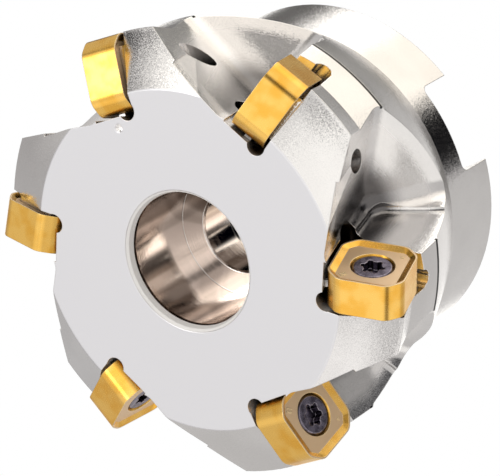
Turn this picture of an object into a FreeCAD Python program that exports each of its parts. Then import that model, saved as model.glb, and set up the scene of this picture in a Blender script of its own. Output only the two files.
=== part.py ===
import FreeCAD, Part
import math
import os

os.makedirs("parts", exist_ok=True)

# A shell-type high feed face mill for indexable inserts, right-hand cutting.
# It stands on its back face: z = 0 is the face that meets the arbor, the spindle axis is Z,
# and the cutting face looks up. All lengths are in millimetres, all angles in degrees.

# Turned outline of the body, given as radii and as drops below the cutting face
BODY_HEIGHT = 38.0
FACE_RADIUS = 23.5
HEAD_RADIUS = 30.9
HEAD_RADIUS_DROP = 4.2
SHOULDER_RADIUS = 29.35
SHOULDER_DROP = 8.5
BAND_REAR_RADIUS = 29.2
BAND_REAR_DROP = 15.5
BAND_EDGE_CHAMFER = 0.35
NECK_CROWN = 0.35
HUB_RADIUS = 24.0
HUB_HEIGHT = 10.4
HUB_BACK_CHAMFER = 0.5

# Arbor bore, the ledge the bolt pulls on, and the counterbore for the bolt head
BORE_RADIUS = 11.0
BORE_CHAMFER = 0.8
LEDGE_THICKNESS = 6.0
UNDERCUT_WIDTH = 1.5
UNDERCUT_DEPTH = 0.4
COUNTERBORE_RADIUS = 9.15
COUNTERBORE_DEPTH = 12.5
LEAD_IN_WIDTH = 0.35
LEAD_IN_DEPTH = 1.5
MOUTH_WIDTH = 0.75
MOUTH_DEPTH = 0.4
BOLT_HOLE_RADIUS = 5.65
BOLT_HOLE_CHAMFER = 0.25

# Drive slots across the back face
SLOT_WIDTH = 12.4
SLOT_DEPTH = 6.2
SLOT_CORNER_RADIUS = 1.0
SLOT_RUN_PAST = 1.0

# Insert: a double-sided square plate with faceted corners and a sunken middle on both faces
INSERT_SIDE = 10.3
INSERT_THICKNESS = 5.2
CORNER_FACET = 1.8
OUTLINE_TURN = 45.0
FACET_ROUNDING = 1.8
EDGE_LAND = 0.18
HOLLOW_SIDE = 8.2
HOLLOW_DEPTH = 0.45
HOLLOW_CORNER_FACET = 0.9
HOLLOW_CORNER_ROUNDING = 0.5
SCREW_CONE_HALF_ANGLE = 30.0
INSERT_HOLE_RADIUS = 2.25
INSERT_MOUTH_RADIUS = 2.95
INDEX_DOT_RADIUS = 0.25
INDEX_DOT_OFFSET = 3.1
INDEX_BAR_LENGTH = 0.9
INDEX_BAR_WIDTH = 0.22
INDEX_BAR_SPACING = 0.45
INDEX_MARK_HEIGHT = 0.08

# Insert screw: countersunk head with a six-lobe recess
SCREW_HEAD_RADIUS = 2.72
SCREW_SHANK_RADIUS = 2.0
SCREW_TIP_DEPTH = 9.5
SCREW_TIP_CHAMFER = 0.4
SCREW_TOP_DEPTH = 0.55
SCREW_TOP_ROUNDING = 0.25
LOBE_CIRCLE_RADIUS = 1.25
LOBE_RADIUS = 0.38
LOBE_COUNT = 6
RECESS_DEPTH = 1.3
THREAD_CLEARANCE = 0.1
THREAD_HOLE_EXTRA = 0.4

# Where the middle of the rake face sits, inward of the head's widest circle and below the
# cutting face, and how the insert is tipped
SEAT_INSET = 5.0
SEAT_DROP = 4.8
AXIAL_RAKE = 7.9
RADIAL_RAKE = 13.8
LEAD_TILT = 13.9

# The drive slots lie on X. The first insert stands at this angle, and the steps to the next ones
# differ on purpose, so that the teeth don't strike in an even rhythm.
FIRST_SEAT_ANGLE = -23.3
SEAT_STEPS = (62.0, 56.5, 62.0, 58.5, 63.5, 57.5)

# Chip flute, drawn in the plane of the rake face: x outward, y to the rear. Its wall runs
# straight back and then turns outward, and the floor meets the wall in a wide hollow.
FLUTE_FLOOR = -0.1
FLUTE_WALL_FRONT = -6.1
FLUTE_WALL_REAR = -5.4
FLUTE_WALL_REAR_Y = 12.0
FLUTE_RUNOUT_SLOPE = 41.0
FLUTE_TURN_RADIUS = 4.0
FLUTE_HOLLOW_RADIUS = 2.2
FLUTE_WALL_LEAN = 6.0
FLUTE_REAR_LEAN = 6.0
FLUTE_REACH = 18.0
FLUTE_FRONT_REACH = 14.0
FLUTE_LENGTH = 42.0

# Clearing cut round the insert, a little deeper than the flute
CLEARING_FLOOR = -0.7
CLEARING_WALL_FRONT = -6.1
CLEARING_WALL_REAR = -3.9
CLEARING_WALL_REAR_Y = 13.4
CLEARING_RUNOUT_SLOPE = 18.5
CLEARING_TURN_RADIUS = 3.0
CLEARING_FILLET = 0.9
CLEARING_LENGTH = 12.0

# Insert pocket
POCKET_REACH = 12.0
POCKET_FLOOR_RELIEF = 0.45
SEAT_PAD_SIDE = 6.8
SIDE_WALL_RELIEF = 0.45
SIDE_WALL_CONTACT = 2.2
SIDE_CONTACT_FRONT = 2.5
SIDE_RELIEF_RADIUS = 1.3
SIDE_RELIEF_RISE = 1.2
REAR_RELIEF_RADIUS = 1.2
REAR_RELIEF_OFFSET = -0.2
REAR_RELIEF_RISE = 1.35
CORNER_RELIEF_RADIUS = 2.3
CORNER_RELIEF_OFFSET = 0.4
CORNER_RELIEF_TOP = 2.4
SIDE_GAP_TOP = 1.0

# Coolant holes, drilled through each flute wall until they break into the arbor bore just
# behind the ledge
COOLANT_RADIUS = 1.5
COOLANT_EXIT_INSET = 5.3
COOLANT_EXIT_DROP = 9.0
COOLANT_EXIT_ANGLE = 28.5
COOLANT_START_INSIDE_BORE = 2.0
COOLANT_START_BEHIND_LEDGE = 2.0
COOLANT_START_ANGLE = 38.0
COOLANT_OVERRUN = 6.0

# Index dimple on the cutting face, beside one insert
DIMPLE_RADIUS = 0.65
DIMPLE_DEPTH = 0.45
DIMPLE_CIRCLE = 19.6
DIMPLE_ANGLE = 90.9

X = FreeCAD.Vector(1, 0, 0)
Y = FreeCAD.Vector(0, 1, 0)
Z = FreeCAD.Vector(0, 0, 1)
ORIGIN = FreeCAD.Vector(0, 0, 0)

# Two points closer than this count as the same when edges are picked for a fillet
NEAR = 0.01


def seat_angles():
    angles = []
    angle = FIRST_SEAT_ANGLE
    for step in SEAT_STEPS:
        angles.append(angle)
        angle = angle + step
    return angles


def seat_placement(angle):
    # The seat frame has its origin in the middle of the rake face: x runs outward along the
    # cutting edge, y runs to the rear and z stands out of the rake face.
    tip = FreeCAD.Rotation(X, AXIAL_RAKE)
    tip = tip * FreeCAD.Rotation(Z, -RADIAL_RAKE)
    tip = tip * FreeCAD.Rotation(Y, LEAD_TILT)
    lay_flat = FreeCAD.Rotation(X, -90.0)
    turn = FreeCAD.Rotation(Z, angle)
    middle = FreeCAD.Vector(HEAD_RADIUS - SEAT_INSET, 0, BODY_HEIGHT - SEAT_DROP)
    return FreeCAD.Placement(turn.multVec(middle), turn * tip * lay_flat)


def placed(shape, placement):
    copy = shape.copy()
    copy.Placement = placement.multiply(copy.Placement)
    return copy


def half_section_solid(points):
    # Points are (radius, height) pairs; a middle tuple of three marks an arc through that point.
    edges = []
    start = None
    through = None
    first = None
    for point in points:
        here = FreeCAD.Vector(point[0], 0, point[1])
        if len(point) == 3:
            through = here
            continue
        if start is None:
            first = here
        elif through is None:
            edges.append(Part.makeLine(start, here))
        else:
            edges.append(Part.Arc(start, through, here).toShape())
            through = None
        start = here
    edges.append(Part.makeLine(start, first))
    face = Part.Face(Part.Wire(edges))
    return face.revolve(ORIGIN, Z, 360.0)


# Turned body

def turned_body():
    shoulder_height = BODY_HEIGHT - SHOULDER_DROP
    band_rear_height = BODY_HEIGHT - BAND_REAR_DROP
    neck_front_radius = BAND_REAR_RADIUS - BAND_EDGE_CHAMFER
    neck_front_height = band_rear_height - BAND_EDGE_CHAMFER
    neck_middle_radius = (neck_front_radius + HUB_RADIUS) / 2 + NECK_CROWN
    neck_middle_height = (neck_front_height + HUB_HEIGHT) / 2
    outline = [
        (0, 0),
        (HUB_RADIUS - HUB_BACK_CHAMFER, 0),
        (HUB_RADIUS, HUB_BACK_CHAMFER),
        (HUB_RADIUS, HUB_HEIGHT),
        (neck_middle_radius, neck_middle_height, "arc"),
        (neck_front_radius, neck_front_height),
        (BAND_REAR_RADIUS, band_rear_height),
        (SHOULDER_RADIUS, shoulder_height),
        (HEAD_RADIUS, BODY_HEIGHT - HEAD_RADIUS_DROP),
        (FACE_RADIUS, BODY_HEIGHT),
        (0, BODY_HEIGHT),
    ]
    return half_section_solid(outline)


def ledge_rear_height():
    return BODY_HEIGHT - COUNTERBORE_DEPTH - LEDGE_THICKNESS


def centre_bores():
    ledge_rear = ledge_rear_height()
    ledge_front = ledge_rear + LEDGE_THICKNESS
    undercut_radius = BORE_RADIUS + UNDERCUT_DEPTH
    outline = [
        (0, 0),
        (BORE_RADIUS + BORE_CHAMFER, 0),
        (BORE_RADIUS, BORE_CHAMFER),
        (BORE_RADIUS, ledge_rear - UNDERCUT_WIDTH),
        (undercut_radius, ledge_rear - UNDERCUT_WIDTH),
        (undercut_radius, ledge_rear),
        (BOLT_HOLE_RADIUS + BOLT_HOLE_CHAMFER, ledge_rear),
        (BOLT_HOLE_RADIUS, ledge_rear + BOLT_HOLE_CHAMFER),
        (BOLT_HOLE_RADIUS, ledge_front - BOLT_HOLE_CHAMFER),
        (BOLT_HOLE_RADIUS + BOLT_HOLE_CHAMFER, ledge_front),
        (COUNTERBORE_RADIUS, ledge_front),
        (COUNTERBORE_RADIUS, BODY_HEIGHT - LEAD_IN_DEPTH),
        (COUNTERBORE_RADIUS + LEAD_IN_WIDTH, BODY_HEIGHT - MOUTH_DEPTH),
        (COUNTERBORE_RADIUS + MOUTH_WIDTH, BODY_HEIGHT),
        (0, BODY_HEIGHT),
    ]
    return half_section_solid(outline)


def drive_slots():
    # One straight milling pass across the back face makes both slots.
    length = 2 * (HUB_RADIUS + SLOT_RUN_PAST)
    corner = FreeCAD.Vector(-length / 2, -SLOT_WIDTH / 2, -SLOT_CORNER_RADIUS)
    pass_box = Part.makeBox(length, SLOT_WIDTH, SLOT_DEPTH + SLOT_CORNER_RADIUS, corner)
    floor_edges = []
    for edge in pass_box.Edges:
        middle = edge.CenterOfMass
        on_floor = abs(middle.z - SLOT_DEPTH) < NEAR
        on_side = abs(abs(middle.y) - SLOT_WIDTH / 2) < NEAR
        if on_floor and on_side:
            floor_edges.append(edge)
    return pass_box.makeFillet(SLOT_CORNER_RADIUS, floor_edges)


# Cuts made once at each seat, in the seat frame

def milled_recess(floor, front_x, rear_x, rear_y, slope, turn_radius, fillet, sweep):
    # A recess open to the front and outward. Its wall runs from front to rear, turns outward
    # at the corner and slopes away; the floor meets the wall in a fillet.
    run = (FLUTE_REACH - rear_x) * math.tan(math.radians(slope))
    corner = FreeCAD.Vector(rear_x, rear_y, floor)
    points = [
        FreeCAD.Vector(front_x, -FLUTE_FRONT_REACH, floor),
        corner,
        FreeCAD.Vector(FLUTE_REACH, rear_y + run, floor),
        FreeCAD.Vector(FLUTE_REACH, -FLUTE_FRONT_REACH, floor),
    ]
    outline = Part.makePolygon(points + [points[0]])
    block = Part.Face(outline).extrude(sweep)
    turn_edges = []
    for edge in block.Edges:
        low = min(edge.Vertexes, key=lambda vertex: vertex.Z)
        stands_up = edge.CenterOfMass.z > floor + NEAR
        if stands_up and low.Point.distanceToPoint(corner) < NEAR:
            turn_edges.append(edge)
    block = block.makeFillet(turn_radius, turn_edges)
    wall_edges = []
    for edge in block.Edges:
        middle = edge.CenterOfMass
        on_floor = abs(middle.z - floor) < NEAR
        outer = middle.x > FLUTE_REACH - NEAR
        front = middle.y < -FLUTE_FRONT_REACH + NEAR
        if on_floor and not outer and not front:
            wall_edges.append(edge)
    return block.makeFillet(fillet, wall_edges)


def flute_cut():
    outward = math.tan(math.radians(FLUTE_WALL_LEAN))
    rearward = math.tan(math.radians(FLUTE_REAR_LEAN))
    sweep = FreeCAD.Vector(outward, rearward, 1).multiply(FLUTE_LENGTH)
    return milled_recess(
        FLUTE_FLOOR, FLUTE_WALL_FRONT, FLUTE_WALL_REAR, FLUTE_WALL_REAR_Y,
        FLUTE_RUNOUT_SLOPE, FLUTE_TURN_RADIUS, FLUTE_HOLLOW_RADIUS, sweep)


def clearing_cut():
    sweep = FreeCAD.Vector(0, 0, CLEARING_LENGTH)
    return milled_recess(
        CLEARING_FLOOR, CLEARING_WALL_FRONT, CLEARING_WALL_REAR, CLEARING_WALL_REAR_Y,
        CLEARING_RUNOUT_SLOPE, CLEARING_TURN_RADIUS, CLEARING_FILLET, sweep)


def open_box(side_x, rear_y, floor, top):
    # A box open to the front and outward, held between a side wall and a rear wall
    corner = FreeCAD.Vector(side_x, rear_y - INSERT_SIDE - POCKET_REACH, floor)
    reach = INSERT_SIDE + POCKET_REACH
    return Part.makeBox(reach, reach, top - floor, corner)


def corner_relief_cut(floor):
    # A round relief in the corner between the two walls, with a domed top
    offset = INSERT_SIDE / 2 - CORNER_RELIEF_OFFSET
    start = FreeCAD.Vector(-offset, offset, floor)
    depth = CORNER_RELIEF_TOP - CORNER_RELIEF_RADIUS - floor
    bore = Part.makeCylinder(CORNER_RELIEF_RADIUS, depth, start, Z)
    dome = Part.makeSphere(CORNER_RELIEF_RADIUS, start.add(FreeCAD.Vector(0, 0, depth)))
    return bore.fuse(dome)


def pocket_cut():
    # Two walls hold the insert and a raised pad carries its sunken middle. The side wall holds
    # it low down and away from the face, and round reliefs keep the corners clear.
    half = INSERT_SIDE / 2
    floor = -INSERT_THICKNESS - POCKET_FLOOR_RELIEF
    recess = open_box(-half, half, floor, 0)
    pad_corner = FreeCAD.Vector(-SEAT_PAD_SIDE / 2, -SEAT_PAD_SIDE / 2, floor)
    pad_height = POCKET_FLOOR_RELIEF + HOLLOW_DEPTH
    pad = Part.makeBox(SEAT_PAD_SIDE, SEAT_PAD_SIDE, pad_height, pad_corner)
    recess = recess.cut(pad)
    gap_side = -half - SIDE_WALL_RELIEF
    relief_height = floor + SIDE_RELIEF_RISE
    side_gap = open_box(gap_side, half, -SIDE_WALL_CONTACT, SIDE_GAP_TOP)
    front_gap = open_box(gap_side, -SIDE_CONTACT_FRONT, relief_height, SIDE_GAP_TOP)
    length = INSERT_SIDE + POCKET_REACH
    side_start = FreeCAD.Vector(-half, half - length, relief_height)
    side_relief = Part.makeCylinder(SIDE_RELIEF_RADIUS, length, side_start, Y)
    rear_start = FreeCAD.Vector(-half, half + REAR_RELIEF_OFFSET, floor + REAR_RELIEF_RISE)
    rear_relief = Part.makeCylinder(REAR_RELIEF_RADIUS, length, rear_start, X)
    corner_relief = corner_relief_cut(floor)
    return recess.multiFuse([side_gap, front_gap, side_relief, rear_relief, corner_relief])


def thread_hole_cut():
    radius = SCREW_SHANK_RADIUS + THREAD_CLEARANCE
    bottom = -SCREW_TIP_DEPTH - THREAD_HOLE_EXTRA
    start = FreeCAD.Vector(0, 0, bottom)
    return Part.makeCylinder(radius, -bottom, start, Z)


def coolant_cut():
    # Drilled from the flute wall down to the arbor bore; given round the spindle axis.
    start_angle = math.radians(COOLANT_START_ANGLE)
    exit_angle = math.radians(COOLANT_EXIT_ANGLE)
    start_radius = BORE_RADIUS - COOLANT_START_INSIDE_BORE
    exit_radius = HEAD_RADIUS - COOLANT_EXIT_INSET
    start = FreeCAD.Vector(
        start_radius * math.cos(start_angle),
        start_radius * math.sin(start_angle),
        ledge_rear_height() - COOLANT_START_BEHIND_LEDGE)
    opening = FreeCAD.Vector(
        exit_radius * math.cos(exit_angle),
        exit_radius * math.sin(exit_angle),
        BODY_HEIGHT - COOLANT_EXIT_DROP)
    direction = opening.sub(start)
    length = direction.Length + COOLANT_OVERRUN
    return Part.makeCylinder(COOLANT_RADIUS, length, start, direction)


def dimple_cut():
    angle = math.radians(DIMPLE_ANGLE)
    middle = FreeCAD.Vector(
        DIMPLE_CIRCLE * math.cos(angle),
        DIMPLE_CIRCLE * math.sin(angle),
        BODY_HEIGHT - DIMPLE_DEPTH)
    return Part.makeCone(0, DIMPLE_RADIUS, DIMPLE_DEPTH, middle, Z)


def cutter_body():
    body = turned_body()
    body = body.cut(centre_bores())
    body = body.cut(drive_slots())
    flute = flute_cut()
    clearing = clearing_cut()
    pocket = pocket_cut()
    thread_hole = thread_hole_cut()
    coolant = coolant_cut()
    for angle in seat_angles():
        seat = seat_placement(angle)
        body = body.cut(placed(flute, seat))
        body = body.cut(placed(clearing, seat))
        body = body.cut(placed(pocket, seat))
        body = body.cut(placed(thread_hole, seat))
        turn = FreeCAD.Placement(ORIGIN, FreeCAD.Rotation(Z, angle))
        body = body.cut(placed(coolant, turn))
    body = body.cut(dimple_cut())
    return body


# Insert

def faceted_square(side, facet, rounding, level):
    # A square outline whose corners are cut by a straight facet and then rounded.
    half = side / 2
    inner = half - facet
    corners = [
        (inner, half), (half, inner), (half, -inner), (inner, -half),
        (-inner, -half), (-half, -inner), (-half, inner), (-inner, half),
    ]
    points = [FreeCAD.Vector(x, y, level) for x, y in corners]
    half_turn = math.radians(OUTLINE_TURN / 2)
    trim = rounding * math.tan(half_turn)
    edges = []
    count = len(points)
    for index in range(count):
        previous = points[index - 1]
        here = points[index]
        following = points[(index + 1) % count]
        after = points[(index + 2) % count]
        back = previous.sub(here).normalize()
        ahead = following.sub(here).normalize()
        arc_start = here.add(FreeCAD.Vector(back).multiply(trim))
        arc_end = here.add(FreeCAD.Vector(ahead).multiply(trim))
        to_centre = back.add(ahead).normalize()
        depth = rounding / math.cos(half_turn) - rounding
        arc_middle = here.add(to_centre.multiply(depth))
        edges.append(Part.Arc(arc_start, arc_middle, arc_end).toShape())
        next_back = here.sub(following).normalize()
        line_end = following.add(next_back.multiply(trim))
        edges.append(Part.makeLine(arc_end, line_end))
    return Part.Wire(edges)


def hollow_cut():
    # The sunken middle: a sloping band runs down from the edge land to a flat.
    rim_side = INSERT_SIDE - 2 * EDGE_LAND
    rim = faceted_square(rim_side, CORNER_FACET, FACET_ROUNDING, 0)
    flat = faceted_square(
        HOLLOW_SIDE, HOLLOW_CORNER_FACET, HOLLOW_CORNER_ROUNDING, -HOLLOW_DEPTH)
    return Part.makeLoft([rim, flat], True, True)


def screw_cone_height(small_radius, large_radius):
    return (large_radius - small_radius) / math.tan(math.radians(SCREW_CONE_HALF_ANGLE))


def insert_plate():
    outline = faceted_square(INSERT_SIDE, CORNER_FACET, FACET_ROUNDING, -INSERT_THICKNESS)
    plate = Part.Face(outline).extrude(FreeCAD.Vector(0, 0, INSERT_THICKNESS))
    hollow = hollow_cut()
    under_side = hollow.copy()
    under_side.rotate(FreeCAD.Vector(0, 0, -INSERT_THICKNESS / 2), X, 180.0)
    plate = plate.cut(hollow).cut(under_side)
    cone_height = screw_cone_height(INSERT_HOLE_RADIUS, INSERT_MOUTH_RADIUS)
    top = -HOLLOW_DEPTH
    bottom = -INSERT_THICKNESS + HOLLOW_DEPTH
    hole = half_section_solid([
        (0, bottom),
        (INSERT_MOUTH_RADIUS, bottom),
        (INSERT_HOLE_RADIUS, bottom + cone_height),
        (INSERT_HOLE_RADIUS, top - cone_height),
        (INSERT_MOUTH_RADIUS, top),
        (0, top),
    ])
    plate = plate.cut(hole)
    return plate.multiFuse(index_marks())


def index_marks():
    # A dot in one corner and two short bars in the next tell the edges apart.
    base = -HOLLOW_DEPTH
    dot_place = FreeCAD.Vector(INDEX_DOT_OFFSET, INDEX_DOT_OFFSET, base)
    marks = [Part.makeCylinder(INDEX_DOT_RADIUS, INDEX_MARK_HEIGHT, dot_place, Z)]
    for side in (-1, 1):
        corner = FreeCAD.Vector(-INDEX_BAR_LENGTH / 2, side * INDEX_BAR_SPACING / 2, 0)
        corner.y = corner.y - INDEX_BAR_WIDTH / 2
        bar = Part.makeBox(INDEX_BAR_LENGTH, INDEX_BAR_WIDTH, INDEX_MARK_HEIGHT, corner)
        bar.rotate(ORIGIN, Z, 45.0)
        bar.translate(FreeCAD.Vector(-INDEX_DOT_OFFSET, -INDEX_DOT_OFFSET, base))
        marks.append(bar)
    return marks


# Insert screw

def six_lobe_recess():
    start = FreeCAD.Vector(0, 0, -SCREW_TOP_DEPTH - RECESS_DEPTH)
    recess = Part.makeCylinder(LOBE_CIRCLE_RADIUS, RECESS_DEPTH, start, Z)
    lobes = []
    for index in range(LOBE_COUNT):
        angle = 2 * math.pi * index / LOBE_COUNT
        offset = FreeCAD.Vector(
            LOBE_CIRCLE_RADIUS * math.cos(angle),
            LOBE_CIRCLE_RADIUS * math.sin(angle),
            0)
        lobes.append(Part.makeCylinder(LOBE_RADIUS, RECESS_DEPTH, start.add(offset), Z))
    return recess.multiFuse(lobes)


def insert_screw():
    # The head's cone is the same cone as the insert's mouth, so the two meet face to face.
    cone_to_head = screw_cone_height(SCREW_HEAD_RADIUS, INSERT_MOUTH_RADIUS)
    rim_bottom = -HOLLOW_DEPTH - cone_to_head
    cone_bottom = rim_bottom - screw_cone_height(SCREW_SHANK_RADIUS, SCREW_HEAD_RADIUS)
    screw = half_section_solid([
        (0, -SCREW_TIP_DEPTH),
        (SCREW_SHANK_RADIUS - SCREW_TIP_CHAMFER, -SCREW_TIP_DEPTH),
        (SCREW_SHANK_RADIUS, -SCREW_TIP_DEPTH + SCREW_TIP_CHAMFER),
        (SCREW_SHANK_RADIUS, cone_bottom),
        (SCREW_HEAD_RADIUS, rim_bottom),
        (SCREW_HEAD_RADIUS, -SCREW_TOP_DEPTH - SCREW_TOP_ROUNDING),
        (SCREW_HEAD_RADIUS - SCREW_TOP_ROUNDING, -SCREW_TOP_DEPTH),
        (0, -SCREW_TOP_DEPTH),
    ])
    return screw.cut(six_lobe_recess())


cutter_body().exportStep("parts/cutter_body.step")

plate = insert_plate()
screw = insert_screw()
for number, angle in enumerate(seat_angles(), start=1):
    seat = seat_placement(angle)
    placed(plate, seat).exportStep("parts/insert_%d.step" % number)
    placed(screw, seat).exportStep("parts/insert_screw_%d.step" % number)
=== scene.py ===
# %% [markdown]
# # A high feed milling cutter
#
# The real tool is a steel body, plated in satin nickel, with six gold-coated carbide inserts
# held by small dark screws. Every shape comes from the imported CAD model, so this lesson is
# about finishes and light: how polished, ground and blasted metal can be told apart.
#
# The frame is loaded first. Its objects stay where they are, and only get materials.

# %% Load the frame
import math
from types import SimpleNamespace

import bpy
import numpy as np
from mathutils import Matrix, Vector

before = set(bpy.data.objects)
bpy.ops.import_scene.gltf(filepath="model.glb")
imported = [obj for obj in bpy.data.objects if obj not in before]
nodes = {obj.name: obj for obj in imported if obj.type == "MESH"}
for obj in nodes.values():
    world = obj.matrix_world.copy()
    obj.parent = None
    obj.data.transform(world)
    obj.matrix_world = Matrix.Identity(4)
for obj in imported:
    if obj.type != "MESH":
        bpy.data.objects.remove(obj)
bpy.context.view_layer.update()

# %% [markdown]
# ## Writing a finish as sums
#
# A finish is a tree of nodes. Wiring each one by hand hides the idea, so a small class wraps
# the output of a node, and plain arithmetic on it adds Math nodes. `1 - mask` then reads as it
# would on paper. A Math node would turn a colour grey, so colours go through a Mix node.

# %% A value that flows through a node tree
class Flow:
    """One output of a node. Arithmetic on it adds Math nodes."""

    def __init__(self, recipe, socket):
        self.recipe = recipe
        self.socket = socket

    def other(self, name):
        """Another output of the same node."""
        return Flow(self.recipe, self.socket.node.outputs[name])

    def _math(self, operation, *values):
        sockets = dict(enumerate(values))
        return self.recipe.node("ShaderNodeMath", {"operation": operation}, sockets)

    def __add__(self, value):
        return self._math("ADD", self, value)

    def __radd__(self, value):
        return self._math("ADD", value, self)

    def __sub__(self, value):
        return self._math("SUBTRACT", self, value)

    def __rsub__(self, value):
        return self._math("SUBTRACT", value, self)

    def __mul__(self, value):
        return self._math("MULTIPLY", self, value)

    def __rmul__(self, value):
        return self._math("MULTIPLY", value, self)

    def __truediv__(self, value):
        return self._math("DIVIDE", self, value)

    def __rtruediv__(self, value):
        return self._math("DIVIDE", value, self)

    def __pow__(self, value):
        return self._math("POWER", self, value)

    def __rpow__(self, value):
        return self._math("POWER", value, self)

    def __abs__(self):
        return self._math("ABSOLUTE", self)

    def smaller(self, value):
        """The smaller of the two values."""
        return self._math("MINIMUM", self, value)

    def rises(self, low, high):
        """0 below low, 1 above high, and a smooth step between them."""
        settings = {"interpolation_type": "SMOOTHSTEP"}
        sockets = {"Value": self, "From Min": low, "From Max": high}
        return self.recipe.node("ShaderNodeMapRange", settings, sockets)


print("Flow is ready")

# %% One method makes every other node
class Recipe:
    """A node tree being written, for a material or for the world."""

    def __init__(self, tree):
        self.tree = tree
        tree.nodes.clear()

    def node(self, kind, settings=None, sockets=None, output=0):
        """Any node: its type, its settings, then a value or a link for each socket."""
        made = self.tree.nodes.new(kind)
        for name, value in (settings or {}).items():
            setattr(made, name, value)
        for key, value in (sockets or {}).items():
            if isinstance(value, Flow):
                self.tree.links.new(value.socket, made.inputs[key])
            else:
                made.inputs[key].default_value = value
        if not made.outputs:
            return None
        return Flow(self, made.outputs[output])

    def mix(self, share, first, second):
        """A colour that goes from first to second as share goes from 0 to 1."""
        sockets = {0: share, 6: first, 7: second}
        return self.node("ShaderNodeMix", {"data_type": "RGBA"}, sockets, output=2)

    def vector(self, operation, first, second=(0.0, 0.0, 0.0)):
        """Arithmetic on directions and places."""
        settings = {"operation": operation}
        return self.node("ShaderNodeVectorMath", settings, {0: first, 1: second})

    def dot(self, first, second):
        """How closely two directions agree: 1 when they are the same."""
        settings = {"operation": "DOT_PRODUCT"}
        return self.node("ShaderNodeVectorMath", settings, {0: first, 1: second}, output="Value")


def new_material(name):
    material = bpy.data.materials.new(name)
    material.use_nodes = True
    return material, Recipe(material.node_tree)


print("Recipe is ready")

# %% [markdown]
# ## Places, grain and edges
#
# Blender works in metres, and a tool's grain is a fraction of a millimetre, so the places on the
# surface are turned into millimetres once. Grain is noise. An edge is found by asking for the
# normal that a small bevel would have: where it differs from the real one, the surface turns,
# and there the colour gets a painted highlight, which stands in for the light that an edge
# catches.
#
# A mirror-like metal shows its grain by where it reflects, not by its colour. So one helper
# tips the normal at random from grain to grain, and another tips it steadily, as on a face
# that is crowned a little. Both only change the shading: the mesh stays flat.

# %% Helpers shared by the three metals
MM_PER_M = 1000.0
EDGE_RADIUS = 0.00016
EDGE_SAMPLES = 6
EDGE_TURN = (0.01, 0.12)
OPENNESS_SAMPLES = 8
STREAK_DETAIL = 3.0
MIDDLE_OF_NOISE = (0.5, 0.5, 0.5)


def places_in_mm(recipe):
    place = recipe.node("ShaderNodeTexCoord", output="Object")
    sockets = {0: place, "Scale": MM_PER_M}
    return recipe.node("ShaderNodeVectorMath", {"operation": "SCALE"}, sockets)


def grain(recipe, place, per_mm, detail=2.0):
    sockets = {"Vector": place, "Scale": per_mm, "Detail": detail}
    return recipe.node("ShaderNodeTexNoise", sockets=sockets)


def streaks(recipe, along, per_mm):
    """Noise that changes in one direction only, as turning and grinding marks do."""
    sockets = {"W": along, "Scale": per_mm, "Detail": STREAK_DETAIL}
    return recipe.node("ShaderNodeTexNoise", {"noise_dimensions": "1D"}, sockets)


def eased_normal(recipe):
    """The normal that the surface would have if its edges were slightly rounded."""
    sockets = {"Radius": EDGE_RADIUS}
    return recipe.node("ShaderNodeBevel", {"samples": EDGE_SAMPLES}, sockets)


def true_normal(recipe):
    return recipe.node("ShaderNodeNewGeometry", output="Normal")


def edge_mask(recipe, eased):
    return (1 - recipe.dot(eased, true_normal(recipe))).rises(*EDGE_TURN)


def openness(recipe, reach):
    """1 on open surfaces, falling towards 0 in corners and hollows."""
    settings = {"samples": OPENNESS_SAMPLES}
    sockets = {"Distance": reach}
    return recipe.node("ShaderNodeAmbientOcclusion", settings, sockets, output="AO")


def bumped(recipe, height, distance, normal):
    sockets = {"Height": height, "Distance": distance, "Strength": 1.0, "Normal": normal}
    return recipe.node("ShaderNodeBump", sockets=sockets)


def scattered(recipe, place, per_mm, share, normal):
    """A normal that leans a little at random from one grain to the next."""
    sockets = {"Vector": place, "Scale": per_mm, "Detail": 0.0}
    random = recipe.node("ShaderNodeTexNoise", sockets=sockets, output="Color")
    lean = recipe.vector("SUBTRACT", random, MIDDLE_OF_NOISE)
    lean = recipe.vector("MULTIPLY", lean, share)
    return recipe.vector("NORMALIZE", recipe.vector("ADD", normal, lean))


def leaning(recipe, normal, lean):
    """A normal tipped up or down, as on a face that is crowned a little."""
    tip = recipe.node("ShaderNodeCombineXYZ", sockets={"Z": lean})
    return recipe.vector("ADD", normal, tip)


def finish_metal(recipe, colour, roughness, normal, metallic=1.0):
    sockets = {
        "Base Color": colour,
        "Metallic": metallic,
        "Roughness": roughness,
        "Normal": normal,
    }
    metal = recipe.node("ShaderNodeBsdfPrincipled", sockets=sockets)
    recipe.node("ShaderNodeOutputMaterial", sockets={"Surface": metal})


print("edge radius:", EDGE_RADIUS * MM_PER_M, "mm")

# %% [markdown]
# ## Where on the body
#
# The body is one piece of steel, but it was turned, milled and blasted in turn, so each part
# of it has its own look. Painting masks by hand would need a picture. Here each mask comes from
# a place's height and its distance from the axis. The outline that the lathe left is two cones
# and a cylinder: how far a place lies under it tells a milled flute from a turned surface, and
# a shallow flute from its deep inner end.

# %% The body's zones
# The turned outline, in millimetres
FACE_HEIGHT = 38.0
FACE_RADIUS = 23.5
FACE_CONE_SLOPE = 1.76
BAND_RADIUS = 29.3
BAND_REAR = 22.5
NECK_SLOPE = 0.4
# Height of the painted shadow line round the band's rear edge
SHADOW_LINE_HEIGHT = 22.8

# Where a zone fades in, from and to, in millimetres
FACE_HEIGHTS = (37.85, 37.95)
REAR_HEIGHTS = (0.2, 0.4)
BORE_RADII = (11.7, 11.9)
LIP_HEIGHTS = (36.8, 36.9)
BAND_RADII = (28.9, 29.0)
SHADOW_LINE_HALF_WIDTHS = (0.18, 0.24)
HEAD_HEIGHTS = (13.4, 15.4)
FLUTE_DEPTHS = (0.6, 3.0)
INNER_DEPTHS = (4.8, 8.3)
CONE_HEIGHTS = (33.8, 34.1)
CONE_DEPTHS = (0.3, 0.6)
FLOOR_END_HEIGHTS = (18.5, 21.5)

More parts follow.
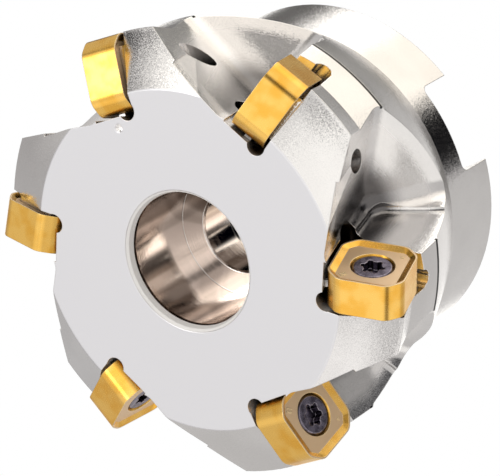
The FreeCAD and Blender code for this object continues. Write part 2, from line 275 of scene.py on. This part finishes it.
STRAIGHT_UP = (0.0, 0.0, 1.0)
LIP_UPWARD = (0.05, 0.15)
FACE_WITHOUT_GRAIN = 0.92
BORE_WITHOUT_GRAIN = 0.9


def depth_under_outline(radius, height):
    """How far a place lies under the turned outline of the body, in millimetres."""
    face_cone = FACE_RADIUS + (FACE_HEIGHT - height) * FACE_CONE_SLOPE
    neck = BAND_RADIUS - (BAND_REAR - height) * NECK_SLOPE
    return face_cone.smaller(neck).smaller(BAND_RADIUS) - radius


def body_zones(recipe, place):
    """Masks from 0 to 1 that say where on the body a place is."""
    x = recipe.node("ShaderNodeSeparateXYZ", sockets={0: place}, output="X")
    y = x.other("Y")
    height = x.other("Z")
    radius = (x * x + y * y) ** 0.5
    depth = depth_under_outline(radius, height)

    face = height.rises(*FACE_HEIGHTS)
    near_axis = 1 - radius.rises(*BORE_RADII)
    below_face = height.rises(*REAR_HEIGHTS) * (1 - face)
    mouth = near_axis * height.rises(*LIP_HEIGHTS) * (1 - face)
    lip = mouth * recipe.dot(true_normal(recipe), STRAIGHT_UP).rises(*LIP_UPWARD)
    bore = near_axis * below_face * (1 - lip)
    outside = radius.rises(*BAND_RADII)
    # Painted shadow line: a thin dark ring at the rear edge of the band.
    seam = outside * (1 - abs(height - SHADOW_LINE_HEIGHT).rises(*SHADOW_LINE_HALF_WIDTHS))
    head = (1 - near_axis) * (1 - face) * height.rises(*HEAD_HEIGHTS)
    flute = head * depth.rises(*FLUTE_DEPTHS)
    inner_end = head * depth.rises(*INNER_DEPTHS)
    return SimpleNamespace(
        height=height,
        radius=radius,
        round_axis=recipe.node("ShaderNodeMath", {"operation": "ARCTAN2"}, {0: y, 1: x}),
        face=face,
        near_axis=near_axis,
        lip=lip,
        bore=bore,
        seam=seam,
        flute=flute,
        inner_end=inner_end,
        outer_end=flute * (1 - inner_end),
        cone=head * height.rises(*CONE_HEIGHTS) * (1 - depth.rises(*CONE_DEPTHS)),
        floor_end=flute * (1 - height.rises(*FLOOR_END_HEIGHTS)),
        grainy=(1 - FACE_WITHOUT_GRAIN * face) * (1 - BORE_WITHOUT_GRAIN * bore),
    )


print("outline:", FACE_RADIUS, "mm at the face,", BAND_RADIUS, "mm at the band")

# %% [markdown]
# ## Satin nickel
#
# Plating keeps the tool marks but softens them, so one recipe covers the whole body and the
# zones vary it. The cutting face is the most matt. The bore is the most polished, and its colour
# is a painted reflection: pale on one side, deep on the other, with streaks round the axis. The
# lip round its mouth gets a painted highlight. The flutes get a painted sheen that makes them
# brighter, and painted shade at their inner ends and in hollows, where little light gets in. The
# band ends in a thin painted shadow line. Every edge gets a painted highlight. All the rest has
# a fine blasted grain.
#
# Turning marks follow the radius and the height, so one streak pattern on their sum suits
# faces and cylinders. A face that should look paler than its mirror image of the room gets a
# little less metal, which lets its own colour show.

# %% The body's colours
NICKEL_PALE = (0.80, 0.785, 0.775, 1.0)
NICKEL_DEEP = (0.74, 0.725, 0.715, 1.0)
NICKEL_FACE = (0.770, 0.763, 0.782, 1.0)
NICKEL_PAINTED_HIGHLIGHT = (0.96, 0.945, 0.925, 1.0)
NICKEL_PAINTED_FLUTE_SHEEN = (0.97, 0.945, 0.925, 1.0)
SPECKLE_TINT = (0.36, 0.355, 0.36, 1.0)
HOLLOW_PAINTED_SHADE = (0.10, 0.092, 0.088, 1.0)
INNER_END_PAINTED_SHADE = (0.11, 0.103, 0.103, 1.0)
BAND_SHADOW_LINE_TINT = (0.04, 0.04, 0.04, 1.0)
# The bore's colours are a painted reflection, from its dark parts to its light parts.
BORE_PAINTED_LIGHT = (0.95, 0.86, 0.80, 1.0)
BORE_PAINTED_DARK = (0.15, 0.11, 0.085, 1.0)
BORE_LIT_SIDE = (-0.574, -0.819, 0.0)
LIT_SIDE_RANGE = (-0.75, 0.75)

FLUTE_SHEEN_SHARE = 0.7
SPECKLE_SHARE = 0.07
HOLLOW_SHADE_SHARE = 0.8
INNER_END_SHADE_SHARE = 0.9
LIT_SIDE_SHARE = 0.75
REFLECTION_BANDS_SHARE = 0.25

CLOUD_RANGE = (0.35, 0.65)
CLOUD_PER_MM = 0.09
SPECKLE_PER_MM = 6.5
SPECKLE_RANGE = (0.42, 0.72)
REFLECTION_BANDS_PER_RADIAN = 1.6
REFLECTION_BANDS_RANGE = (0.42, 0.58)
HOLLOW_REACH = 0.005
HOLLOW_RANGE = (0.05, 0.5)


def nickel_tone(recipe, place, zone, edge):
    cloud = grain(recipe, place, CLOUD_PER_MM).rises(*CLOUD_RANGE)
    speckle = grain(recipe, place, SPECKLE_PER_MM, detail=0.0).rises(*SPECKLE_RANGE)
    reflection_bands = streaks(recipe, zone.round_axis, REFLECTION_BANDS_PER_RADIAN).rises(*REFLECTION_BANDS_RANGE)
    # Painted shade: outside the bore, corners and hollows are darkened where the openness falls.
    hollow_shade = (1 - openness(recipe, HOLLOW_REACH).rises(*HOLLOW_RANGE)) * (1 - zone.near_axis)
    # Painted reflection in the bore: paler towards one side, darker towards the other, with
    # streaks round the axis, standing in for the room that the polished bore mirrors.
    side = (recipe.dot(place, BORE_LIT_SIDE) / zone.radius).rises(*LIT_SIDE_RANGE)
    painted_bore_reflection = recipe.mix(LIT_SIDE_SHARE * side + REFLECTION_BANDS_SHARE * reflection_bands, BORE_PAINTED_DARK, BORE_PAINTED_LIGHT)

    tone = recipe.mix(cloud, NICKEL_DEEP, NICKEL_PALE)
    tone = recipe.mix(zone.face, tone, NICKEL_FACE)
    # Painted sheen: the flutes are coloured paler, standing in for the bright highlights they
    # catch.
    tone = recipe.mix(FLUTE_SHEEN_SHARE * zone.flute, tone, NICKEL_PAINTED_FLUTE_SHEEN)
    tone = recipe.mix(zone.bore, tone, painted_bore_reflection)
    tone = recipe.mix(SPECKLE_SHARE * speckle * zone.grainy, tone, SPECKLE_TINT)
    tone = recipe.mix(HOLLOW_SHADE_SHARE * hollow_shade, tone, HOLLOW_PAINTED_SHADE)
    # Painted shade: the deep inner ends of the flutes are darkened, where little light gets in.
    tone = recipe.mix(INNER_END_SHADE_SHARE * zone.inner_end, tone, INNER_END_PAINTED_SHADE)
    # Painted highlight: every edge of the body is coloured brighter, standing in for the light
    # that an edge catches.
    tone = recipe.mix(edge, tone, NICKEL_PAINTED_HIGHLIGHT)
    # Painted highlight: the upward-facing lip round the bore's mouth gets the same bright
    # colour.
    tone = recipe.mix(zone.lip, tone, NICKEL_PAINTED_HIGHLIGHT)
    # Painted shadow line along the band's rear edge.
    return recipe.mix(zone.seam, tone, BAND_SHADOW_LINE_TINT)


print("bore goes from", BORE_PAINTED_DARK[:3], "to", BORE_PAINTED_LIGHT[:3])

# %% The body's finish
NICKEL_FINE_PER_MM = 5.0
NICKEL_MARKS_PER_MM = 5.0
NICKEL_ROUGHNESS = 0.12
FINE_ROUGHENS = 0.05
MARKS_ROUGHEN = 0.03
FACE_ROUGHER = 0.20
BORE_SMOOTHER = 0.07
LIP_ROUGHER = 0.35

NICKEL_RELIEF = 0.000007
FINE_HEIGHT = 0.25
MARKS_HEIGHT = 0.3
MARKS_MORE_IN_BORE = 0.7
MARKS_LESS_ON_FACE = 0.2

FLOOR_LEAN = 0.2
CONE_LEAN = 0.14
CONE_LEAN_RADII = (26.0, 30.0)
SCATTER_PER_MM = 8.5
SCATTER_LEAN = 0.22

LIP_LESS_METAL = 0.85
FLUTE_LESS_METAL = 0.38


def satin_nickel():
    material, recipe = new_material("satin_nickel")
    place = places_in_mm(recipe)
    zone = body_zones(recipe, place)
    fine = grain(recipe, place, NICKEL_FINE_PER_MM, detail=1.0)
    marks = streaks(recipe, zone.radius + zone.height, NICKEL_MARKS_PER_MM)
    eased = eased_normal(recipe)
    tone = nickel_tone(recipe, place, zone, edge_mask(recipe, eased))

    roughness = NICKEL_ROUGHNESS + FINE_ROUGHENS * fine + MARKS_ROUGHEN * marks
    roughness = roughness + FACE_ROUGHER * zone.face - BORE_SMOOTHER * zone.bore
    roughness = roughness + LIP_ROUGHER * zone.lip

    marks_height = MARKS_HEIGHT + MARKS_MORE_IN_BORE * zone.bore
    marks_height = marks_height - MARKS_LESS_ON_FACE * zone.face
    relief = FINE_HEIGHT * fine * zone.grainy + marks_height * marks
    normal = bumped(recipe, relief, NICKEL_RELIEF, eased)
    cone_lean = CONE_LEAN * zone.cone * zone.radius.rises(*CONE_LEAN_RADII)
    normal = leaning(recipe, normal, FLOOR_LEAN * zone.floor_end - cone_lean)
    normal = scattered(recipe, place, SCATTER_PER_MM, SCATTER_LEAN * zone.grainy, normal)

    metallic = 1 - LIP_LESS_METAL * zone.lip - FLUTE_LESS_METAL * zone.outer_end
    finish_metal(recipe, tone, roughness, normal, metallic)
    return material


nickel = satin_nickel()
print("made", nickel.name, "with", len(nickel.node_tree.nodes), "nodes")

# %% [markdown]
# ## Gold coating
#
# The inserts are ground carbide with a thin gold-coloured nitride on top. Their flanks are
# ground bright, and their flat rake faces are a little duller and paler. To tell the two apart
# the recipe needs to know which way each insert faces, so each has its own copy. The thin way
# through an insert is the direction in which its points spread least.
#
# Where an insert lies close to the wall of its pocket, hardly any light reaches it. A short
# reach for the openness darkens just that gap.

# %% Which way an insert faces
def thin_direction(piece):
    points = np.array([vertex.co for vertex in piece.data.vertices])
    spread = points - points.mean(axis=0)
    directions = np.linalg.svd(spread, full_matrices=False)[2]
    return Vector(directions[-1])


for name in ("insert_1", "insert_2"):
    print(name, "faces", [round(value, 2) for value in thin_direction(nodes[name])])

# %% The inserts' finish
GOLD_FLANK = (0.93, 0.57, 0.14, 1.0)
GOLD_FLANK_DEEP = (0.86, 0.46, 0.07, 1.0)
GOLD_FLAT = (0.84, 0.60, 0.36, 1.0)
GOLD_PAINTED_HIGHLIGHT = (1.0, 0.82, 0.46, 1.0)
GOLD_SHUT_IN = (0.10, 0.05, 0.02, 1.0)
GAP_REACH = 0.0008
GAP_RANGE = (0.2, 0.75)
FLAT_AGREEMENT = (0.9, 0.97)
FLAT_LESS_METAL = 0.5
GOLD_FINE_PER_MM = 7.0
GOLD_CLOUD_PER_MM = 0.35
GRINDING_PER_MM = 9.0
GOLD_ROUGHNESS = 0.20
GOLD_FINE_ROUGHENS = 0.07
GRINDING_ROUGHENS = 0.05
FLAT_ROUGHER = 0.10
GOLD_RELIEF = 0.0000025
GOLD_FINE_HEIGHT = 0.6
GRINDING_HEIGHT = 0.5


def gold_coating(name, facing):
    material, recipe = new_material(name)
    place = places_in_mm(recipe)
    eased = eased_normal(recipe)
    edge = edge_mask(recipe, eased)
    flat = abs(recipe.dot(true_normal(recipe), facing)).rises(*FLAT_AGREEMENT)
    shut_in = 1 - openness(recipe, GAP_REACH).rises(*GAP_RANGE)

    fine = grain(recipe, place, GOLD_FINE_PER_MM)
    cloud = grain(recipe, place, GOLD_CLOUD_PER_MM).rises(*CLOUD_RANGE)
    grinding = streaks(recipe, recipe.dot(place, facing), GRINDING_PER_MM)

    tone = recipe.mix(cloud, GOLD_FLANK_DEEP, GOLD_FLANK)
    tone = recipe.mix(flat, tone, GOLD_FLAT)
    # Painted highlight: the inserts' edges are coloured brighter, standing in for the light they
    # catch.
    tone = recipe.mix(edge, tone, GOLD_PAINTED_HIGHLIGHT)
    tone = recipe.mix(shut_in, tone, GOLD_SHUT_IN)
    roughness = GOLD_ROUGHNESS + GOLD_FINE_ROUGHENS * fine + GRINDING_ROUGHENS * grinding
    roughness = roughness + FLAT_ROUGHER * flat
    relief = GOLD_FINE_HEIGHT * fine + GRINDING_HEIGHT * grinding
    normal = bumped(recipe, relief, GOLD_RELIEF, eased)
    finish_metal(recipe, tone, roughness, normal, 1 - FLAT_LESS_METAL * flat)
    return material


print("gold relief:", GOLD_RELIEF * MM_PER_M, "mm")

# %% [markdown]
# ## Dark screws
#
# The screws are steel with a thin dark oxide that leans to violet. Their edges are coloured
# bright, partly as wear where the key touches the lobes of the recess and partly as a painted
# highlight. The recess itself is painted nearly black, a painted shade for the light that goes
# in and hardly comes out.

# %% The screws' finish
OXIDE = (0.13, 0.115, 0.15, 1.0)
OXIDE_PALE = (0.30, 0.27, 0.34, 1.0)
RECESS_PAINTED_SHADE = (0.02, 0.016, 0.024, 1.0)
RUBBED_WEAR_AND_HIGHLIGHT = (0.70, 0.65, 0.74, 1.0)
RUBBED_HIGHLIGHT_SHARE = 0.8
RECESS_REACH = 0.0012
RECESS_RANGE = (0.25, 0.85)
OXIDE_FINE_PER_MM = 9.0
OXIDE_CLOUD_PER_MM = 1.2
OXIDE_ROUGHNESS = 0.22
OXIDE_FINE_ROUGHENS = 0.14
OXIDE_RELIEF = 0.000003


def dark_oxide():
    material, recipe = new_material("dark_oxide")
    place = places_in_mm(recipe)
    eased = eased_normal(recipe)
    edge = edge_mask(recipe, eased)
    fine = grain(recipe, place, OXIDE_FINE_PER_MM)
    cloud = grain(recipe, place, OXIDE_CLOUD_PER_MM).rises(*CLOUD_RANGE)
    shut_in = 1 - openness(recipe, RECESS_REACH).rises(*RECESS_RANGE)

    tone = recipe.mix(cloud, OXIDE, OXIDE_PALE)
    # Painted shade: the recess is coloured nearly black where the openness falls.
    tone = recipe.mix(shut_in, tone, RECESS_PAINTED_SHADE)
    # Painted highlight on every edge of the screw, with wear where the key touches.
    tone = recipe.mix(RUBBED_HIGHLIGHT_SHARE * edge, tone, RUBBED_WEAR_AND_HIGHLIGHT)
    roughness = OXIDE_ROUGHNESS + OXIDE_FINE_ROUGHENS * fine
    normal = bumped(recipe, fine, OXIDE_RELIEF, eased)
    finish_metal(recipe, tone, roughness, normal)
    return material


oxide = dark_oxide()
print("made", oxide.name, "with", len(oxide.node_tree.nodes), "nodes")

# %% Give every piece its finish
def dress(piece, material):
    piece.material_slots[0].material = material


for name, piece in sorted(nodes.items()):
    if name == "cutter_body":
        dress(piece, nickel)
    elif name.startswith("insert_screw"):
        dress(piece, oxide)
    else:
        coating = gold_coating("gold_coating_" + name, thin_direction(piece))
        dress(piece, coating)
    print(name, "wears", piece.material_slots[0].material.name)

# %% [markdown]
# ## A white tent with openings
#
# Bare metal has no colour of its own to show: it shows the room. A photographer puts such a
# tool in a white tent, with brighter panels where the lamps stand and dark openings for the
# camera and at the seams. The bright ones draw the white streaks on the cone and the neck, and
# the dark ones the grainy shadows in the flutes and the black stripe on the hub.
#
# Modelling the tent would only add surfaces to bounce light off. Painting the world by direction
# says the same with a few numbers: each patch has a direction, an inner angle where it is full
# and an outer angle where it ends. Each was chosen one by one. For a spot that is dark or bright
# in the photo, the direction that it mirrors was worked out, and a patch was put there. A flat
# face seen from straight above mirrors the top of the tent, so that part stays modest. The
# camera itself sees plain white behind the tool.

# %% The tent
TENT_LEVEL = (0.64, 0.625, 0.615, 1.0)
BACKGROUND = (1.0, 1.0, 1.0, 1.0)


def toward(azimuth, elevation):
    """A direction, from degrees round Z starting at +X and degrees above the ground."""
    round_z = math.radians(azimuth)
    above = math.radians(elevation)
    level = math.cos(above)
    return Vector((level * math.cos(round_z), level * math.sin(round_z), math.sin(above)))


# Each patch of the tent: azimuth, elevation, half angle inside, half angle outside, colour
TENT_PATCHES = (
    (180, 50, 14, 34, (0.92, 0.91, 0.905)),
    (-118, 50, 12, 30, (1.15, 1.13, 1.11)),
    (0, 86, 6, 20, (0.98, 0.965, 0.935)),
    (2, 70, 12, 24, (1.25, 1.23, 1.19)),
    (92, 46, 12, 28, (1.40, 1.37, 1.31)),
    (-68, -2, 6, 26, (1.10, 1.08, 1.05)),
    (-14, -37, 5, 14, (0.14, 0.14, 0.145)),
    (36, 2, 10, 30, (1.22, 1.15, 1.06)),
    (42, -26, 12, 34, (1.60, 1.54, 1.44)),
    (50, -52, 12, 26, (1.40, 1.31, 1.17)),
    (92, -40, 10, 24, (2.10, 2.04, 1.94)),
    (-175, -50, 10, 26, (1.45, 1.42, 1.37)),
    (-130, -70, 6, 20, (0.95, 0.93, 0.91)),
    (151, -68, 6, 18, (0.34, 0.33, 0.31)),
    (74, -76, 4, 9, (0.24, 0.235, 0.22)),
    (125, 17, 8, 12.5, (0.01, 0.01, 0.012)),
    (129, 26, 2, 7, (0.12, 0.118, 0.118)),
    (111, 20, 4, 10, (0.36, 0.35, 0.34)),
    (158, -10, 8, 22, (0.47, 0.455, 0.45)),
    (-172, -14, 6, 20, (0.56, 0.55, 0.55)),
    (66, 14, 4, 18, (0.30, 0.285, 0.27)),
    (-80, 24, 4, 16, (0.20, 0.19, 0.18)),
    (-8, -53, 10, 18, (0.0, 0.0, 0.001)),
    (-35, -74, 6, 18, (0.25, 0.24, 0.23)),
    (34, 53, 2, 6, (0.10, 0.098, 0.098)),
    (140, -52, 6, 20, (0.15, 0.145, 0.14)),
    (28, 34, 8, 16, (0.05, 0.048, 0.048)),
    (-150, 86, 3, 9, (1.45, 1.43, 1.39)),
)


def hang_tent():
    world = bpy.data.worlds.new("white_tent")
    bpy.context.scene.world = world
    world.use_nodes = True
    recipe = Recipe(world.node_tree)
    direction = recipe.node("ShaderNodeTexCoord", output="Generated")
    colour = TENT_LEVEL
    for azimuth, elevation, inside, outside, patch in TENT_PATCHES:
        agreement = recipe.dot(direction, toward(azimuth, elevation))
        near = math.cos(math.radians(inside))
        far = math.cos(math.radians(outside))
        colour = recipe.mix(agreement.rises(far, near), colour, (*patch, 1.0))
    seen = recipe.node("ShaderNodeLightPath", output="Is Camera Ray")
    colour = recipe.mix(seen, colour, BACKGROUND)
    light = recipe.node("ShaderNodeBackground", sockets={"Color": colour, "Strength": 1.0})
    recipe.node("ShaderNodeOutputWorld", sockets={"Surface": light})


hang_tent()
print("tent patches:", len(TENT_PATCHES))

# %% [markdown]
# ## Floor, lamp and camera
#
# The tool stands on a pale floor. The camera sees it as plain white, so the tool looks cut out,
# and polished metal sees the tent instead of the floor. One soft lamp overhead adds a little
# direction. The camera stands far away with a long lens, which keeps the cutter's ring round.

# %% The floor
FLOOR_SIDE = 1.6
FLOOR_COLOUR = (0.86, 0.855, 0.85, 1.0)


def lay_floor():
    bpy.ops.mesh.primitive_plane_add(size=FLOOR_SIDE)
    floor = bpy.context.object
    floor.name = "floor"
    floor.visible_glossy = False
    material, recipe = new_material("pale_floor")
    matt = recipe.node("ShaderNodeBsdfDiffuse", sockets={"Color": FLOOR_COLOUR})
    plain = recipe.node("ShaderNodeEmission", sockets={"Color": BACKGROUND, "Strength": 1.0})
    seen = recipe.node("ShaderNodeLightPath", output="Is Camera Ray")
    surface = recipe.node("ShaderNodeMixShader", sockets={0: seen, 1: matt, 2: plain})
    recipe.node("ShaderNodeOutputMaterial", sockets={"Surface": surface})
    floor.data.materials.append(material)


lay_floor()
print("floor side:", FLOOR_SIDE, "m")

# %% The lamp
LAMP_DISTANCE = 0.55
LAMP_SIDE = 0.22
LAMP_WATTS = 0.42
TOOL_MIDDLE = Vector((0.0, 0.0, 0.019))


def hang_lamp(name, azimuth, elevation):
    light = bpy.data.lights.new(name, "AREA")
    light.shape = "SQUARE"
    light.size = LAMP_SIDE
    light.energy = LAMP_WATTS
    lamp = bpy.data.objects.new(name, light)
    bpy.context.scene.collection.objects.link(lamp)
    away = toward(azimuth, elevation)
    lamp.location = TOOL_MIDDLE + away * LAMP_DISTANCE
    lamp.rotation_euler = away.to_track_quat("Z", "Y").to_euler()
    print(name, "at", [round(value, 3) for value in lamp.location])


hang_lamp("soft_lamp", azimuth=120, elevation=58)

# %% The camera
EYE = Vector((0.420488, 0.033218, 0.538200))
TARGET = Vector((0.006956, -0.000903, 0.032688))
PICTURE_UP = Vector((0.31558, 0.89385, -0.31849))
LENS_MM = 360.0
SENSOR_MM = 36.0
NEAREST_SEEN = 0.01


def place_camera():
    camera_data = bpy.data.cameras.new("camera")
    camera_data.lens = LENS_MM
    camera_data.sensor_width = SENSOR_MM
    camera_data.clip_start = NEAREST_SEEN
    camera = bpy.data.objects.new("camera", camera_data)
    bpy.context.scene.collection.objects.link(camera)
    back = (EYE - TARGET).normalized()
    right = PICTURE_UP.cross(back).normalized()
    up = back.cross(right)
    turn = Matrix((right, up, back)).transposed().to_4x4()
    camera.matrix_world = Matrix.Translation(EYE) @ turn
    bpy.context.scene.camera = camera


place_camera()
bpy.context.scene.view_settings.view_transform = "Standard"
print("camera at", [round(value, 3) for value in EYE])

# %% [markdown]
# ## Sizes
#
# Looks don't change the size.

# %% Sizes
print("looks leave the sizes as they are")
